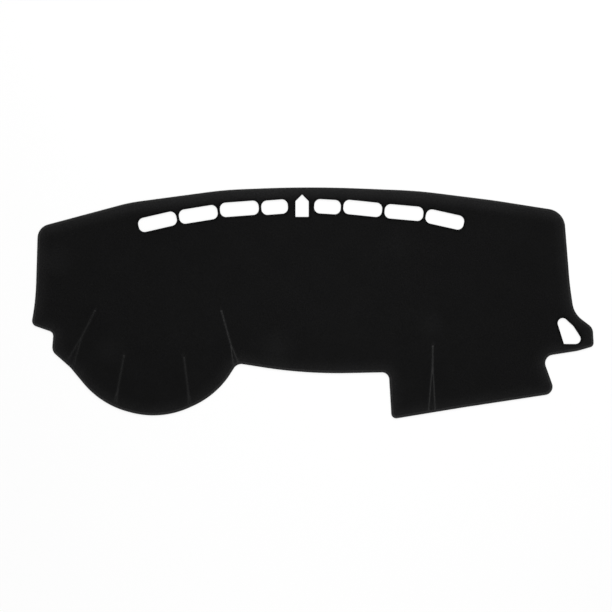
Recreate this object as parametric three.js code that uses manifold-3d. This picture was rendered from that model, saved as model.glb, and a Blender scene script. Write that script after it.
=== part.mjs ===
// Dashboard cover mat: a sheet of velour felt, cut to the plan of a dashboard and laid out flat.
// Millimetres. +X runs along the dashboard to the glovebox side, +Y to the windscreen, +Z up
// from the surface that the mat lies on. The origin is under the middle of the mat.
//
// The sheet is one piece. Its edge is bound by an overlock seam, and five sewn darts draw in the
// hem: four shape the hood over the dials, one shapes the flap in front of the glovebox.
import * as THREE from "three";
import { mergeVertices } from "three/addons/utils/BufferGeometryUtils.js";
import Module from "manifold-3d";

const wasm = await Module();
wasm.setup();

// The cut, over all
const matWidth = 1400;
const matDepth = 576;
const driversSide = -matWidth / 2; // the mat's ends and its front and back line
const passengersSide = matWidth / 2;
const rearLine = matDepth / 2;
const frontLine = -matDepth / 2;

// Felt and thread
const feltThickness = 3;
const tongueThickness = 1.8; // the felt's edge, squeezed by the thread round it
const threadThickness = 0.5; // the layer of thread over each side of that edge
const clearance = 0.3; // between thread and felt
const overlockWidth = 6; // from the mat's edge to the needle line
const noseRounding = 1.2; // of the overlocked edge, seen in section

// Hood: the round lobe of the hem that hangs over the dials. Its darts make it swell.
const hoodRadius = 216.5;
const hoodCentre = { x: driversSide + 302, y: -64 };
const hoodStart = 216; // degrees round the lobe, counter-clockwise from +X
const hoodEnd = 333;
const hoodRise = 14;

// The rest of the hem, as sharp corners and the radius that rounds each one. A wide radius is a
// sweeping curve, such as the crown of the windscreen edge, which stays well inside its corner.
const windscreenEdge = [
  { x: passengersSide - 74, y: rearLine - 59.6, r: 47 },
  { x: 452, y: rearLine - 32.3, r: 1490 },
  { x: 260, y: rearLine - 8.2, r: 1200 },
  { x: -8, y: rearLine + 2.3, r: 3000 },
  { x: -220, y: rearLine - 6.1, r: 900 },
  { x: -457, y: rearLine - 37.8, r: 400 },
  { x: driversSide + 14.2, y: rearLine - 99.1, r: 35 },
];
const driversEnd = [
  { x: driversSide + 8.6, y: 5.6, r: 610 },
  { x: driversSide - 2.2, y: -54.3, r: 15 },
  { x: driversSide + 53.2, y: -73.6, r: 13 },
  { x: driversSide + 49.4, y: -120.4, r: 24 },
  { x: driversSide + 95.1, y: -160.8, r: 59 },
];
const dialsToGlovebox = [
  { x: hoodCentre.x + 209, y: -150.4, r: 22 },
  { x: -19.7, y: -177.1, r: 1200 },
  { x: passengersSide - 510.7, y: -172.9, r: 18 },
];
const gloveboxFlap = [
  { x: passengersSide - 503.7, y: frontLine - 2.1, r: 12.5 },
  { x: passengersSide - 325, y: frontLine + 27.3, r: 1500 },
  { x: passengersSide - 94.9, y: frontLine + 62.2, r: 21 },
  { x: passengersSide - 128, y: -133.3, r: 21 },
];
const passengersEnd = [
  { x: passengersSide - 40.5, y: -119.7, r: 96 },
  { x: passengersSide + 0.6, y: -107.9, r: 11 },
  { x: passengersSide - 2, y: -62.1, r: 25 },
  { x: passengersSide - 48.9, y: -26.3, r: 60 },
  { x: passengersSide - 59.2, y: 44.3, r: 655 },
];

// Holes over the demister vents, in a row that follows the windscreen edge, listed outwards from
// the sensor hole in its middle. Two vents have a narrow bridge of felt between them.
const ventHeight = 35.8;
const ventRounding = 14.8;
const longVent = 96.8;
const shortVent = 66.2;
const ventBridge = 6.5;
const driversVents = [
  { length: shortVent, y: rearLine - 49.1, turn: 4.4 },
  { length: longVent, y: rearLine - 53.3, turn: 4.3 },
  { length: longVent, y: rearLine - 67.2, turn: 9.2 },
  { length: longVent, y: rearLine - 85.7, turn: 13 },
];
const passengersVents = [
  { length: shortVent, y: rearLine - 48, turn: -3.5 },
  { length: longVent, y: rearLine - 52.3, turn: -5.9 },
  { length: longVent, y: rearLine - 62.6, turn: -5.1 },
  { length: longVent, y: rearLine - 80, turn: -12.6 },
];

// Hole round the light sensor, with a pointed top. The felt beside it is wider than a bridge.
const sensorHole = { x: -26.8, y: rearLine - 73.4, width: 33, wall: 39.2, height: 55.8, r: 1.5 };
const besideSensor = { drivers: 18.9, passengers: 13.7 };

// Hole in the end tab, over the vent for the side window
const sideVentHole = [
  { x: passengersSide - 74, y: -102.3, r: 2.5 },
  { x: passengersSide - 21.5, y: -102.5, r: 13 },
  { x: passengersSide - 50.5, y: -57.8, r: 25 },
  { x: passengersSide - 103, y: -9.6, r: 12.5 },
];

// Darts: the edges of a slit are lapped and sewn down, from a tip in the sheet to the hem. Along
// its stem one seam holds both edges. Then the lap widens, with a seam down each side of it: the
// legs, in degrees from the heading. A hood dart's tip is given from the hood's centre.
const hoodDarts = [
  { tip: { x: -144, y: 46 }, heading: -117, stem: 76, legs: [-4.2, 10.2] },
  { tip: { x: -71.5, y: -66 }, heading: -101, stem: 84, legs: [-4, 4] },
  { tip: { x: 77.5, y: -71 }, heading: -83.5, stem: 84, legs: [-4, 4] },
  { tip: { x: 170, y: 45 }, heading: -74.5, stem: 90, legs: [-7.9, 7.2] },
];
const gloveboxDart = {
  tip: { x: passengersSide - 401.5, y: -106 },
  heading: -90.5,
  stem: 50,
  legs: [-4.2, 3.8],
};
const seamWidth = 4; // of the zigzag stitching
const seamDepth = 0.7; // that the stitches sink into the pile
const seamProud = 0.3; // that they stand over it
const seamStop = 2; // short of the overlock
const lapRise = 1.2; // of the lapped felt, pressed by its seams

// The sheet also swells a little round the tip of the glovebox dart. Next to the hem it lies flat.
const flapRise = 6;
const flapSwelling = 115; // radius of that swelling
const flatHem = 24; // this much of the sheet inside the overlock lies flat
const hemFade = 60; // the swelling fades to nothing over this distance

// Facets: how far a chord may cut inside its arc, and the grid that the laid sheet bends on
const chordError = 0.25;
const gridPitch = 30;
const tall = 2 * (feltThickness + lapRise + seamProud + hoodRise + flapRise);

// A closed outline through sharp corners, each rounded by a true arc, or the line that runs
// parallel to it, inset from it. Where two arcs need more than the edge between them, both radii
// are reduced to fit. A corner that the inset line can't round stays sharp.
function roundedOutline(corners, inset = 0) {
  const at = (list, i) => list[(i + list.length) % list.length];
  const edges = corners.map(({ x, y }, i) => {
    const next = at(corners, i + 1);
    return new THREE.Vector2(next.x - x, next.y - y);
  });
  const turns = edges.map((leaving, i) => {
    const arriving = at(edges, i - 1);
    return Math.atan2(arriving.cross(leaving), arriving.dot(leaving));
  });
  const reach = corners.map(({ r }, i) => r * Math.tan(Math.abs(turns[i]) / 2));
  const room = edges.map((edge, i) => edge.length() / (reach[i] + at(reach, i + 1)));
  return corners.flatMap((corner, i) => {
    const turn = turns[i];
    const along = at(edges, i - 1).clone().normalize();
    const left = new THREE.Vector2(-along.y, along.x);
    const fit = Math.min(1, room[i], at(room, i - 1));
    const radius = corner.r * fit;
    const insetRadius = radius - Math.sign(turn) * inset;
    const sharp = new THREE.Vector2(corner.x, corner.y);
    if (insetRadius <= chordError) {
      return [sharp.addScaledVector(left, inset).addScaledVector(along, -inset * Math.tan(turn / 2))];
    }
    const inward = left.multiplyScalar(Math.sign(turn));
    const centre = sharp.addScaledVector(along, -reach[i] * fit).addScaledVector(inward, radius);
    const start = centre.clone().addScaledVector(inward, -insetRadius);
    const steps = arcSteps(radius, turn);
    return Array.from({ length: steps + 1 }, (_, k) =>
      start.clone().rotateAround(centre, (turn * k) / steps),
    );
  });
}

function arcSteps(radius, turn) {
  const widest = 2 * Math.acos(1 - Math.min(chordError / radius, 0.5));
  return Math.max(1, Math.ceil(Math.abs(turn) / widest));
}

// Corners round a circle's arc: straight edges that touch the circle, rounded to its radius.
function lobeCorners(centre, radius, startDegrees, endDegrees, count) {
  const half = THREE.MathUtils.degToRad((endDegrees - startDegrees) / count / 2);
  return Array.from({ length: count }, (_, i) => {
    const angle = THREE.MathUtils.degToRad(startDegrees) + half * (2 * i + 1);
    const reach = radius / Math.cos(half);
    const x = centre.x + reach * Math.cos(angle);
    const y = centre.y + reach * Math.sin(angle);
    return { x, y, r: radius };
  });
}

const hemCorners = [
  ...windscreenEdge,
  ...driversEnd,
  ...lobeCorners(hoodCentre, hoodRadius, hoodStart, hoodEnd, 3),
  ...dialsToGlovebox,
  ...gloveboxFlap,
  ...passengersEnd,
];
const hemLine = (inset) => roundedOutline(hemCorners, inset);
const hem = hemLine(0);

function ventOutline({ x, y, turn, length }) {
  const middle = new THREE.Vector2(x, y);
  const corners = [
    [-1, -1],
    [1, -1],
    [1, 1],
    [-1, 1],
  ].map(([side, end]) => {
    const corner = new THREE.Vector2((side * length) / 2, (end * ventHeight) / 2).add(middle);
    corner.rotateAround(middle, THREE.MathUtils.degToRad(turn));
    return { x: corner.x, y: corner.y, r: ventRounding };
  });
  return roundedOutline(corners);
}

function sensorOutline({ x, y, width, wall, height, r }) {
  return roundedOutline([
    { x: x - width / 2, y, r },
    { x: x + width / 2, y, r },
    { x: x + width / 2, y: y + wall, r },
    { x, y: y + height, r },
    { x: x - width / 2, y: y + wall, r },
  ]);
}

// Half the row: the distance between two middles is half of each vent and the bridge. Side is
// -1 to the driver's end and 1 to the passenger's.
function ventRow(vents, firstEdge, side) {
  let x = firstEdge;
  let y = vents[0].y;
  let reach = 0;
  return vents.map((vent, i) => {
    const apart = reach + vent.length / 2 + (i && ventBridge);
    x += side * Math.sqrt(apart ** 2 - (vent.y - y) ** 2);
    y = vent.y;
    reach = vent.length / 2;
    return ventOutline({ ...vent, x });
  });
}

const sensorSide = sensorHole.width / 2;
const holes = [
  ...ventRow(driversVents, sensorHole.x - sensorSide - besideSensor.drivers, -1),
  ...ventRow(passengersVents, sensorHole.x + sensorSide + besideSensor.passengers, 1),
  sensorOutline(sensorHole),
  roundedOutline(sideVentHole),
];

// Solids
function solidFrom(geometry) {
  geometry.deleteAttribute("normal");
  geometry.deleteAttribute("uv");
  const merged = mergeVertices(geometry, 1e-4);
  const vertProperties = new Float32Array(merged.attributes.position.array);
  const triVerts = new Uint32Array(merged.index.array);
  return new wasm.Manifold(new wasm.Mesh({ numProp: 3, vertProperties, triVerts }));
}

function prism(outline, low, high, hole) {
  const shape = new THREE.Shape(outline);
  if (hole) shape.holes.push(new THREE.Path(hole));
  const geometry = new THREE.ExtrudeGeometry(shape, { depth: high - low, bevelEnabled: false });
  return solidFrom(geometry.translate(0, 0, low));
}

// How high the laid sheet stands at a point: it swells where darts draw the hem together, and
// lies down again before it reaches the hem.
function swell(point, centre, radius, rise) {
  const share = Math.hypot(point.x - centre.x, point.y - centre.y) / radius;
  return share < 1 ? rise * (1 - share ** 2) ** 2 : 0;
}

function distanceToHem(point) {
  const nearest = new THREE.Vector3();
  const corners = hem.map(({ x, y }) => new THREE.Vector3(x, y, 0));
  const distances = corners.map((start, i) => {
    const edge = new THREE.Line3(start, corners[(i + 1) % corners.length]);
    return edge.closestPointToPoint(point, true, nearest).distanceTo(point);
  });
  return Math.min(...distances);
}

function lift(point) {
  const height =
    swell(point, hoodCentre, hoodRadius, hoodRise) +
    swell(point, gloveboxDart.tip, flapSwelling, flapRise);
  const flat = overlockWidth + flatHem;
  return height && height * THREE.MathUtils.smoothstep(distanceToHem(point), flat, flat + hemFade);
}

// A slab between two surfaces that both follow the laid sheet, low and high over its underside
const hemBox = new THREE.Box2().setFromPoints(hem).expandByScalar(gridPitch);
const hemSize = hemBox.getSize(new THREE.Vector2());
const hemMiddle = hemBox.getCenter(new THREE.Vector2());

function laidSlab(low, high) {
  const columns = Math.ceil(hemSize.x / gridPitch);
  const rows = Math.ceil(hemSize.y / gridPitch);
  const slab = new THREE.BoxGeometry(hemSize.x, hemSize.y, 1, columns, rows, 1);
  slab.translate(hemMiddle.x, hemMiddle.y, 0);
  const position = slab.attributes.position;
  for (let i = 0; i < position.count; i++) {
    const point = new THREE.Vector3(position.getX(i), position.getY(i), 0);
    position.setZ(i, lift(point) + (position.getZ(i) > 0 ? high : low));
  }
  return solidFrom(slab);
}

function laid(footprint, low, high) {
  return laidSlab(low, high).intersect(footprint);
}

// Overlock: a ring of thread, open inwards, with the felt's squeezed edge as its tongue
const tongueLow = threadThickness + clearance;
const tongueHigh = tongueLow + tongueThickness;
const overlockHeight = tongueHigh + clearance + threadThickness;

function overlockRing() {
  const plate = new THREE.ExtrudeGeometry(new THREE.Shape(hem), {
    depth: overlockHeight - 2 * noseRounding,
    bevelThickness: noseRounding,
    bevelSize: noseRounding,
    bevelOffset: -noseRounding,
    bevelSegments: 2,
  });
  return solidFrom(plate.translate(0, 0, noseRounding))
    .subtract(prism(hemLine(overlockWidth), -tall, tall))
    .subtract(prism(hemLine(threadThickness), threadThickness, overlockHeight - threadThickness));
}

// A dart's seams on the plan: one bar from the tip to the end of the stem, then a bar down each
// leg. The legs run on past the hem, and are trimmed there.
function headed(start, degrees, distance) {
  const angle = THREE.MathUtils.degToRad(degrees);
  return new THREE.Vector2(Math.cos(angle), Math.sin(angle)).multiplyScalar(distance).add(start);
}

function bar(start, end, width) {
  const along = end.clone().sub(start).setLength(width / 2);
  const side = new THREE.Vector2(-along.y, along.x);
  const from = start.clone().sub(along);
  const to = end.clone().add(along);
  return [
    from.clone().sub(side),
    to.clone().sub(side),
    to.clone().add(side),
    from.clone().add(side),
  ];
}

function dartPlan({ tip, heading, stem, legs }) {
  const top = new THREE.Vector2(tip.x, tip.y);
  const fork = headed(top, heading, stem);
  const ends = legs.map((leg) => headed(fork, heading + leg, hemSize.y));
  return { top, fork, ends };
}

function seamFootprint(dart, width) {
  const { top, fork, ends } = dartPlan(dart);
  const legs = ends.map((end) => prism(bar(fork, end, width), -tall, tall));
  return legs[0].add(legs[1]).add(prism(bar(top, fork, width), -tall, tall));
}

function lapFootprint(dart) {
  const { fork, ends } = dartPlan(dart);
  return prism([fork, ...ends], -tall, tall);
}

// Laps and seams both stop here, short of the overlock.
function seamTrim() {
  return prism(hemLine(overlockWidth + seamStop + clearance), -tall, tall);
}

const darts = [
  ...hoodDarts.map((dart, i) => ({
    ...dart,
    name: `hood_dart_seam_${i + 1}`,
    tip: { x: hoodCentre.x + dart.tip.x, y: hoodCentre.y + dart.tip.y },
  })),
  { ...gloveboxDart, name: "glovebox_dart_seam" },
];

function matSheet() {
  const faceInset = overlockWidth + clearance;
  const tongueRoot = hemLine(faceInset + feltThickness);
  const furrowTrim = prism(hemLine(overlockWidth + seamStop), -tall, tall);
  let sheet = laid(prism(hemLine(faceInset), -tall, tall), 0, feltThickness);
  sheet = sheet.add(prism(hemLine(threadThickness + clearance), tongueLow, tongueHigh, tongueRoot));
  for (const dart of darts) {
    const lap = lapFootprint(dart).intersect(seamTrim());
    const furrow = seamFootprint(dart, seamWidth + 2 * clearance).intersect(furrowTrim);
    sheet = sheet
      .add(laid(lap, feltThickness / 2, feltThickness + lapRise))
      .subtract(laid(furrow, feltThickness - seamDepth - clearance, tall));
  }
  for (const hole of holes) {
    sheet = sheet.subtract(prism(hole, -tall, tall));
  }
  return sheet;
}

function dartSeam(dart) {
  const footprint = seamFootprint(dart, seamWidth).intersect(seamTrim());
  return laid(footprint, feltThickness - seamDepth, feltThickness + seamProud);
}

// Assembly
const velour = new THREE.MeshStandardMaterial({ color: 0x151516, roughness: 0.95, metalness: 0 });
const thread = new THREE.MeshStandardMaterial({ color: 0x29292b, roughness: 0.6, metalness: 0 });

function meshOf(name, solid, material) {
  const { numProp, vertProperties, triVerts } = solid.getMesh();
  const geometry = new THREE.BufferGeometry();
  geometry.setAttribute("position", new THREE.BufferAttribute(vertProperties, numProp));
  geometry.setIndex(new THREE.BufferAttribute(triVerts, 1));
  geometry.computeVertexNormals();
  const mesh = new THREE.Mesh(geometry, material);
  mesh.name = name;
  return mesh;
}

const mat = new THREE.Group();
mat.name = "dashboard_cover_mat";
mat.add(meshOf("mat_sheet", matSheet(), velour));
mat.add(meshOf("edge_overlock", overlockRing(), thread));
for (const dart of darts) {
  mat.add(meshOf(dart.name, dartSeam(dart), thread));
}

export default mat;
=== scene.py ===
# %% [markdown]
# # A dashboard cover mat
#
# A dashboard mat is one sheet of velour felt, cut to the plan of a dashboard. A machine wraps its
# edge in thread, the holes over the demister vents are left as cut, and a few sewn darts make the
# flat felt bulge over the dials. Here it lies on a white table and is seen from straight above.
#
# All sizes are in metres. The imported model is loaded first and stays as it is: every piece below
# is made round it, in the same place.

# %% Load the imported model
import math
import random

import bmesh
import bpy
from mathutils import Matrix, Vector, noise
from mathutils.geometry import delaunay_2d_cdt, intersect_line_line_2d
from mathutils.kdtree import KDTree


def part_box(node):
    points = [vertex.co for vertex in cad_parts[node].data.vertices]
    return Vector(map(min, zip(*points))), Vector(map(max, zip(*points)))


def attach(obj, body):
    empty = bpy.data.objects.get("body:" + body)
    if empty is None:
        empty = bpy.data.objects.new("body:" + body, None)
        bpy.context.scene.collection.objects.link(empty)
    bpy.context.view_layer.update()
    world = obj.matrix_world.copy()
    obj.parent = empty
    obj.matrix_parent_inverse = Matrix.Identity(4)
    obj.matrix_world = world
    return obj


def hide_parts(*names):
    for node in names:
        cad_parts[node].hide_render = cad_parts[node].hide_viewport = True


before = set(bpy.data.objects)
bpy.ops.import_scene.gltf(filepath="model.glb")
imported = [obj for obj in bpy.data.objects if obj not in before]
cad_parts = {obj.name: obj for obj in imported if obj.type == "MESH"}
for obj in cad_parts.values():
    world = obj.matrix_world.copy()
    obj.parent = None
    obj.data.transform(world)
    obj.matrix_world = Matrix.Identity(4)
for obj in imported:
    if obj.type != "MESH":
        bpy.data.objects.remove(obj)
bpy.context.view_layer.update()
edge_low, edge_high = (Vector(corner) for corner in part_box("edge_overlock"))
print("nodes:", ", ".join(sorted(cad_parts)))
print("mat over all:", [round(side, 4) for side in edge_high - edge_low])

# %% [markdown]
# ## The view
#
# The camera looks straight down, from far enough away that the perspective is hardly felt. The
# width of the picture on the mat, and the point in its middle, were measured on the photograph.

# %% Camera
PICTURE_WIDTH = 1.5255
PICTURE_MIDDLE = (-0.01706, -0.00763)
CAMERA_HEIGHT = 4.0
MAT_TOP = 0.003
CAMERA_SENSOR = 36


def add_object(name, data):
    """A new object in the scene."""
    made = bpy.data.objects.new(name, data)
    bpy.context.scene.collection.objects.link(made)
    return made


camera_data = bpy.data.cameras.new("camera")
camera_data.sensor_width = CAMERA_SENSOR
camera_data.lens = CAMERA_SENSOR * (CAMERA_HEIGHT - MAT_TOP) / PICTURE_WIDTH
camera = add_object("camera", camera_data)
camera.location = (*PICTURE_MIDDLE, CAMERA_HEIGHT)
bpy.context.scene.camera = camera
bpy.context.scene.view_settings.view_transform = "Standard"
print("lens:", round(camera_data.lens, 1), "mm")

# %% [markdown]
# ## Table and light
#
# The table and the background are seen as white, but stronger lamps would bleach the mat too. The
# Light Path node tells camera and mirror rays from all other light, and only those are shown the
# white. The world and the table both need its answer, so a helper makes the nodes for it.


# %% Helpers for nodes
def new_material(name):
    material = bpy.data.materials.new(name)
    material.use_nodes = True
    material.node_tree.nodes.clear()
    return material, material.node_tree


def add_node(tree, kind, values=None, **settings):
    """A new node, with plain settings and with values for the inputs that aren't linked."""
    node = tree.nodes.new(kind)
    for name, value in settings.items():
        setattr(node, name, value)
    for socket, value in (values or {}).items():
        node.inputs[socket].default_value = value
    return node


def linked_math(tree, operation, first, second):
    """A Math node fed by two sockets or numbers."""
    node = add_node(tree, "ShaderNodeMath", operation=operation)
    for i, value in enumerate((first, second)):
        if isinstance(value, (int, float)):
            node.inputs[i].default_value = value
        else:
            tree.links.new(value, node.inputs[i])
    return node.outputs[0]


def seen_directly(tree):
    """An output that is 1 for camera, mirror and see-through rays, and 0 for all other light."""
    rays = add_node(tree, "ShaderNodeLightPath").outputs
    either = linked_math(tree, "MAXIMUM", rays["Is Camera Ray"], rays["Is Glossy Ray"])
    return linked_math(tree, "MAXIMUM", either, rays["Is Transmission Ray"])


# %% [markdown]
# Black velour shows its form only by soft light that comes in low. So one wide lamp stands behind
# the windscreen edge, towards the passenger's end, and a higher one in front evens out the light.
# The sky adds a dim light from all sides.

# %% World and lamps
SKY_LIGHT = 0.42
LAMPS = {
    "lamp_rear": {"place": (0.9, 2.5, 1.9), "power": 77, "size": 2.4},
    "lamp_front": {"place": (-0.2, -1.7, 3.0), "power": 46, "size": 2.6},
}

world = bpy.data.worlds.new("white_room")
world.use_nodes = True
tree = world.node_tree
tree.nodes.clear()
sky = add_node(tree, "ShaderNodeBackground", {"Color": (SKY_LIGHT,) * 3 + (1,), "Strength": 1})
white = add_node(tree, "ShaderNodeBackground", {"Color": (1, 1, 1, 1), "Strength": 1})
either = add_node(tree, "ShaderNodeMixShader")
output = add_node(tree, "ShaderNodeOutputWorld")
tree.links.new(seen_directly(tree), either.inputs["Fac"])
tree.links.new(sky.outputs[0], either.inputs[1])
tree.links.new(white.outputs[0], either.inputs[2])
tree.links.new(either.outputs[0], output.inputs["Surface"])
bpy.context.scene.world = world

for name, facts in LAMPS.items():
    lamp_data = bpy.data.lights.new(name, "AREA")
    lamp_data.energy = facts["power"]
    lamp_data.size = facts["size"]
    lamp = add_object(name, lamp_data)
    place = Vector(facts["place"])
    towards_mat = place.to_track_quat("Z", "Y").to_matrix().to_4x4()
    lamp.matrix_world = Matrix.Translation(place) @ towards_mat
print("lamps:", list(LAMPS))

# %% [markdown]
# The table is matte and almost white. Round the mat it keeps part of its real shading, and with it
# the soft shadow. Further out that share fades, so a view from the side ends in plain white.

# %% White table
TABLE_HALF = 4.0
TABLE_COLOR = (0.97, 0.97, 0.97, 1)
TABLE_KEEPS = 0.3  # of its real shading round the mat, the rest is plain white
FADES_FROM, FADES_TO = 1.1, 3.2  # the distances between which that share sinks to nothing


def finish_mesh(name, bm):
    mesh = bpy.data.meshes.new(name)
    bm.to_mesh(mesh)
    bm.free()
    return mesh


bm = bmesh.new()
bmesh.ops.create_grid(bm, x_segments=1, y_segments=1, size=TABLE_HALF)
table = add_object("table", finish_mesh("table", bm))

material, tree = new_material("white_table")
matte = add_node(tree, "ShaderNodeBsdfDiffuse", {"Color": TABLE_COLOR})
glow = add_node(tree, "ShaderNodeEmission", {"Color": (1, 1, 1, 1), "Strength": 1})
place = add_node(tree, "ShaderNodeTexCoord")
distance = add_node(tree, "ShaderNodeVectorMath", operation="LENGTH")
fades = {"From Min": FADES_FROM, "From Max": FADES_TO, "To Min": 1 - TABLE_KEEPS, "To Max": 1}
whiteness = add_node(tree, "ShaderNodeMapRange", fades, interpolation_type="SMOOTHSTEP")
direct = linked_math(tree, "MULTIPLY", seen_directly(tree), whiteness.outputs["Result"])
both = add_node(tree, "ShaderNodeMixShader")
output = add_node(tree, "ShaderNodeOutputMaterial")
tree.links.new(place.outputs["Object"], distance.inputs[0])
tree.links.new(distance.outputs["Value"], whiteness.inputs["Value"])
tree.links.new(direct, both.inputs["Fac"])
tree.links.new(matte.outputs[0], both.inputs[1])
tree.links.new(glow.outputs[0], both.inputs[2])
tree.links.new(both.outputs[0], output.inputs["Surface"])
table.data.materials.append(material)
print("table:", 2 * TABLE_HALF, "m wide")

# %% [markdown]
# ## The cut
#
# The mat's outline is drawn the way a pattern cutter draws it: straight lines between sharp
# corners, each corner rounded by its own arc. A sweeping edge is one corner with a very wide arc.
# Corners near an end are measured from that end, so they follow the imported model.

# %% Hem
DRIVERS_SIDE, FRONT_LINE = edge_low.x, edge_low.y
PASSENGERS_SIDE, REAR_LINE = edge_high.x, edge_high.y
HOOD_CENTRE = Vector((DRIVERS_SIDE + 0.302, -0.064))
HOOD_RADIUS = 0.2165


def lobe_corners(centre, radius, start, end, count):
    """Corners of straight lines that touch a circle, which its own radius then rounds."""
    half = math.radians(end - start) / count / 2
    angles = [math.radians(start) + half * (2 * i + 1) for i in range(count)]
    reach = radius / math.cos(half)
    spokes = [(reach * math.cos(angle), reach * math.sin(angle)) for angle in angles]
    return [(centre.x + across, centre.y + up, radius) for across, up in spokes]


WINDSCREEN_EDGE = [
    (PASSENGERS_SIDE - 0.074, REAR_LINE - 0.0596, 0.047),
    (0.452, REAR_LINE - 0.0323, 1.49),
    (0.26, REAR_LINE - 0.0082, 1.2),
    (-0.008, REAR_LINE + 0.0023, 3.0),
    (-0.22, REAR_LINE - 0.0061, 0.9),
    (-0.457, REAR_LINE - 0.0378, 0.4),
    (DRIVERS_SIDE + 0.0142, REAR_LINE - 0.0991, 0.035),
]
HEM = [
    *WINDSCREEN_EDGE,
    (DRIVERS_SIDE + 0.0086, 0.0056, 0.61),
    (DRIVERS_SIDE - 0.0022, -0.0543, 0.015),
    (DRIVERS_SIDE + 0.0532, -0.0736, 0.013),
    (DRIVERS_SIDE + 0.0494, -0.1204, 0.024),
    (DRIVERS_SIDE + 0.0951, -0.1608, 0.059),
    *lobe_corners(HOOD_CENTRE, HOOD_RADIUS, 216, 333, 3),
    (HOOD_CENTRE.x + 0.209, -0.1504, 0.022),
    (-0.0197, -0.1771, 1.2),
    (PASSENGERS_SIDE - 0.5107, -0.1729, 0.018),
    (PASSENGERS_SIDE - 0.5037, FRONT_LINE - 0.0021, 0.0125),
    (PASSENGERS_SIDE - 0.325, FRONT_LINE + 0.0273, 1.5),
    (PASSENGERS_SIDE - 0.0949, FRONT_LINE + 0.0622, 0.021),
    (PASSENGERS_SIDE - 0.128, -0.1333, 0.021),
    (PASSENGERS_SIDE - 0.0405, -0.1197, 0.096),
    (PASSENGERS_SIDE + 0.0006, -0.1079, 0.011),
    (PASSENGERS_SIDE - 0.002, -0.0621, 0.025),
    (PASSENGERS_SIDE - 0.0489, -0.0263, 0.06),
    (PASSENGERS_SIDE - 0.0592, 0.0443, 0.655),
]
print("hem corners:", len(HEM))

# %% [markdown]
# The vents stand in two rows, laid out from the sensor hole outwards: each by its own length and
# turn, with the same bridge of felt between two.

# %% Vents and holes
VENT_HEIGHT, VENT_ROUNDING, VENT_BRIDGE = 0.0358, 0.0148, 0.0065
LONG_VENT, SHORT_VENT = 0.0968, 0.0662
SENSOR_X, SENSOR_LOW, SENSOR_HALF = -0.0268, REAR_LINE - 0.0734, 0.0165
SENSOR_SHOULDER, SENSOR_PEAK, SENSOR_ROUNDING = 0.0392, 0.0558, 0.0015
DRIVERS_GAP, PASSENGERS_GAP = 0.0189, 0.0137  # from the sensor hole to the first vent on each side
# Each vent, outwards from the sensor hole: its length, its distance from the rear line, its turn
DRIVERS_VENTS = [
    (SHORT_VENT, 0.0491, 4.4),
    (LONG_VENT, 0.0533, 4.3),
    (LONG_VENT, 0.0672, 9.2),
    (LONG_VENT, 0.0857, 13.0),
]
PASSENGERS_VENTS = [
    (SHORT_VENT, 0.048, -3.5),
    (LONG_VENT, 0.0523, -5.9),
    (LONG_VENT, 0.0626, -5.1),
    (LONG_VENT, 0.08, -12.6),
]


def vent_corners(x, y, length, turn):
    across = Matrix.Rotation(math.radians(turn), 2)
    halves = [(-length / 2, -VENT_HEIGHT / 2), (length / 2, -VENT_HEIGHT / 2)]
    halves += [(-across_x, -up) for across_x, up in halves]
    return [(*(Vector((x, y)) + across @ Vector(half)), VENT_ROUNDING) for half in halves]


def vent_row(vents, first_edge, side):
    """Vents side by side, outwards from the sensor hole, with a bridge of felt between two."""
    x, y, reach, row = first_edge, REAR_LINE - vents[0][1], 0, []
    for length, below, turn in vents:
        apart = reach + length / 2 + (VENT_BRIDGE if row else 0)
        x += side * math.sqrt(apart**2 - (REAR_LINE - below - y) ** 2)
        y = REAR_LINE - below
        reach = length / 2
        row.append(vent_corners(x, y, length, turn))
    return row


SENSOR_HOLE = [
    (SENSOR_X - SENSOR_HALF, SENSOR_LOW, SENSOR_ROUNDING),
    (SENSOR_X + SENSOR_HALF, SENSOR_LOW, SENSOR_ROUNDING),
    (SENSOR_X + SENSOR_HALF, SENSOR_LOW + SENSOR_SHOULDER, SENSOR_ROUNDING),
    (SENSOR_X, SENSOR_LOW + SENSOR_PEAK, SENSOR_ROUNDING),
    (SENSOR_X - SENSOR_HALF, SENSOR_LOW + SENSOR_SHOULDER, SENSOR_ROUNDING),
]
SIDE_VENT_HOLE = [
    (PASSENGERS_SIDE - 0.074, -0.1023, 0.0025),
    (PASSENGERS_SIDE - 0.0215, -0.1025, 0.013),
    (PASSENGERS_SIDE - 0.0505, -0.0578, 0.025),
    (PASSENGERS_SIDE - 0.103, -0.0096, 0.0125),
]
HOLES = [
    *vent_row(DRIVERS_VENTS, SENSOR_X - SENSOR_HALF - DRIVERS_GAP, -1),
    *vent_row(PASSENGERS_VENTS, SENSOR_X + SENSOR_HALF + PASSENGERS_GAP, 1),
    SENSOR_HOLE,
    SIDE_VENT_HOLE,
]
print("holes:", len(HOLES))

# %% [markdown]
# A rounded outline is handed on as stations: a point on the edge, and the direction into the felt.
# Any line that runs beside the edge is then one step along that direction, so the rounding of the
# cut, the squeezed hem and the stitches all stay parallel to it.

# %% Stations along an edge
STATION_GAP = 0.004
SAME_STATION = STATION_GAP / 40  # stations closer than this are one and the same
WIDEST_TURN = math.radians(9)


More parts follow.
